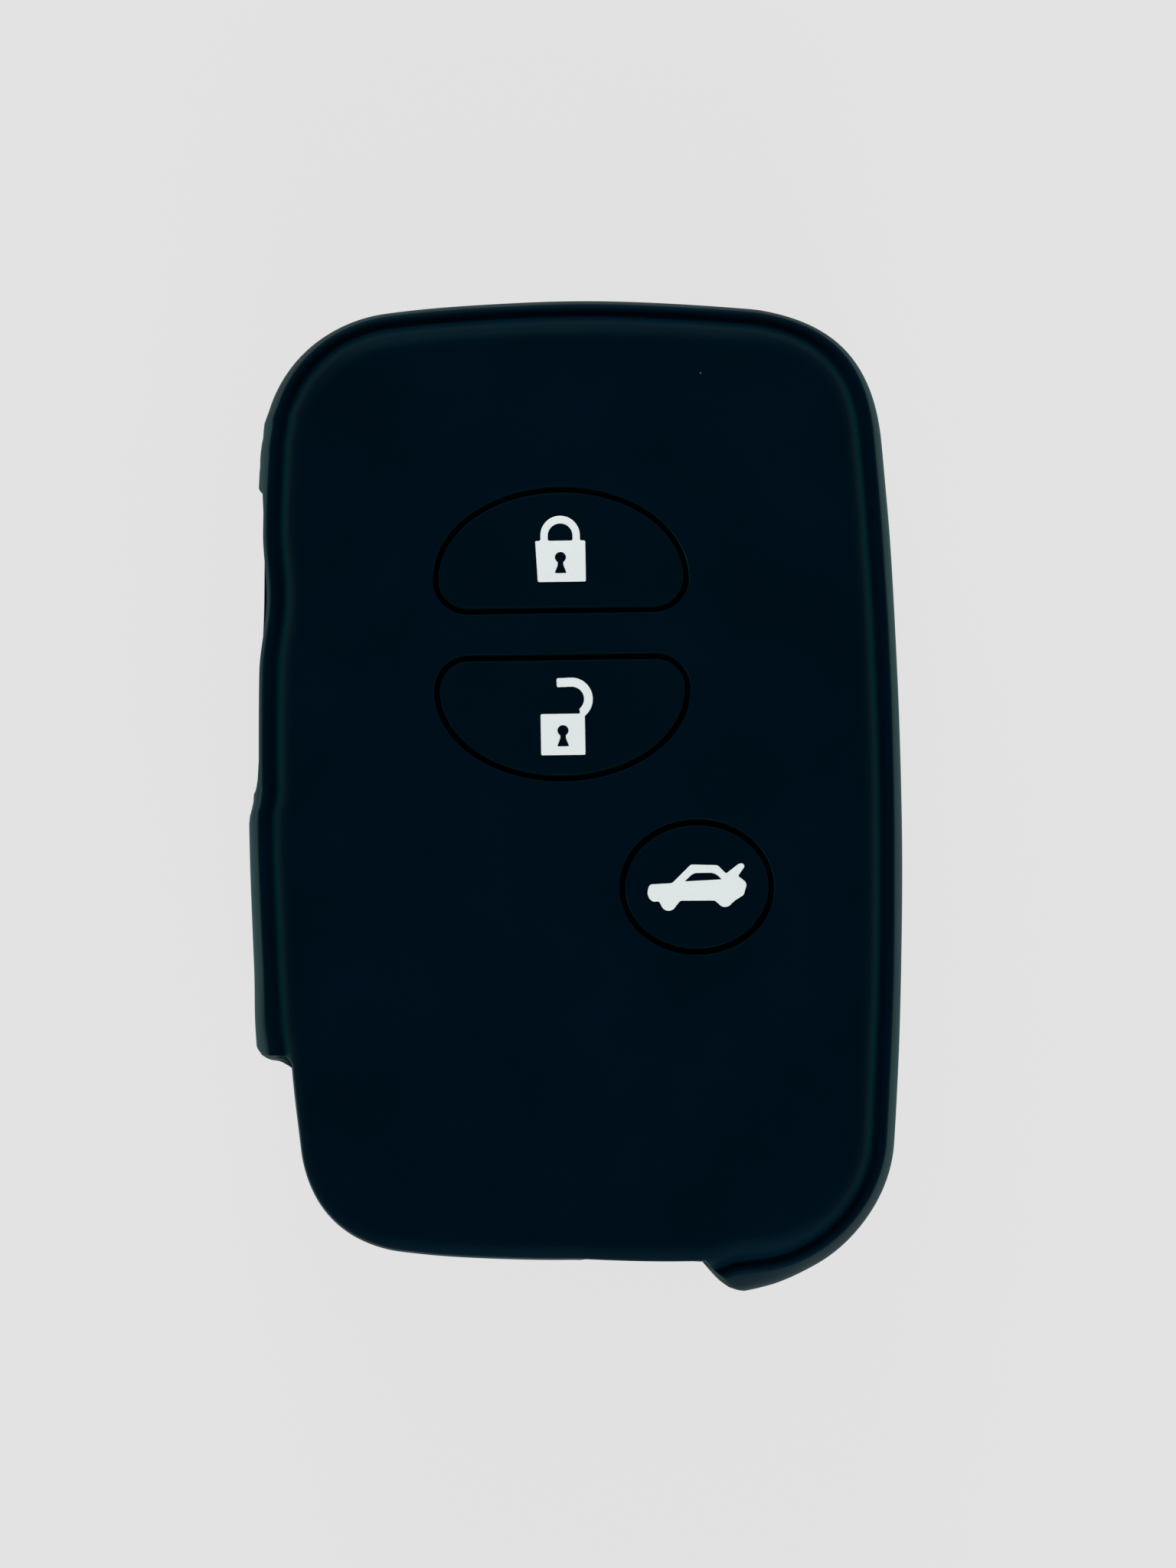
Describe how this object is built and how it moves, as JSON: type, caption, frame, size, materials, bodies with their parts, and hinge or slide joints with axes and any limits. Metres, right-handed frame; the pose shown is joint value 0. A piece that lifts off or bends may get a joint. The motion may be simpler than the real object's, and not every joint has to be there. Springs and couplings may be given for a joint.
{
  "type": "key fob cover",
  "caption": "Moulded silicone cover for a car key fob, with a raised face, three button pads with white icons, a side slot and an open corner for a key ring.",
  "frame": {"origin": "middle of the back lip's resting face, under the middle of the cover", "axes": "+Z from the back to the face, +Y from the key ring end to the lock button end, +X to the right seen from the face"},
  "size_m": [0.0506, 0.0766, 0.0157],
  "materials": {
    "skin": "compression-moulded silicone rubber, matt black-teal",
    "pad": "the same silicone, matt",
    "web": "the same silicone, thin and in shadow",
    "icon": "white silicone fill, satin"
  },
  "bodies": {
    "cover": {"cover_shell": "skin", "lock_button_web": "web", "unlock_button_web": "web", "trunk_button_web": "web"},
    "lock_pad": {"lock_button": "pad", "lock_icon": "icon"},
    "unlock_pad": {"unlock_button": "pad", "unlock_icon": "icon"},
    "trunk_pad": {"trunk_button": "pad", "trunk_icon": "icon"}
  },
  "joints": [
    {"name": "lock_press", "type": "slide", "parent": "cover", "child": "lock_pad", "axis": [0, 0, -1], "range_m": [0, 0.0009], "stiffness_N_per_m": 300, "deforming": ["lock_button_web"]},
    {"name": "unlock_press", "type": "slide", "parent": "cover", "child": "unlock_pad", "axis": [0, 0, -1], "range_m": [0, 0.0009], "stiffness_N_per_m": 300, "deforming": ["unlock_button_web"]},
    {"name": "trunk_press", "type": "slide", "parent": "cover", "child": "trunk_pad", "axis": [0, 0, -1], "range_m": [0, 0.0009], "stiffness_N_per_m": 300, "deforming": ["trunk_button_web"]}
  ]
}
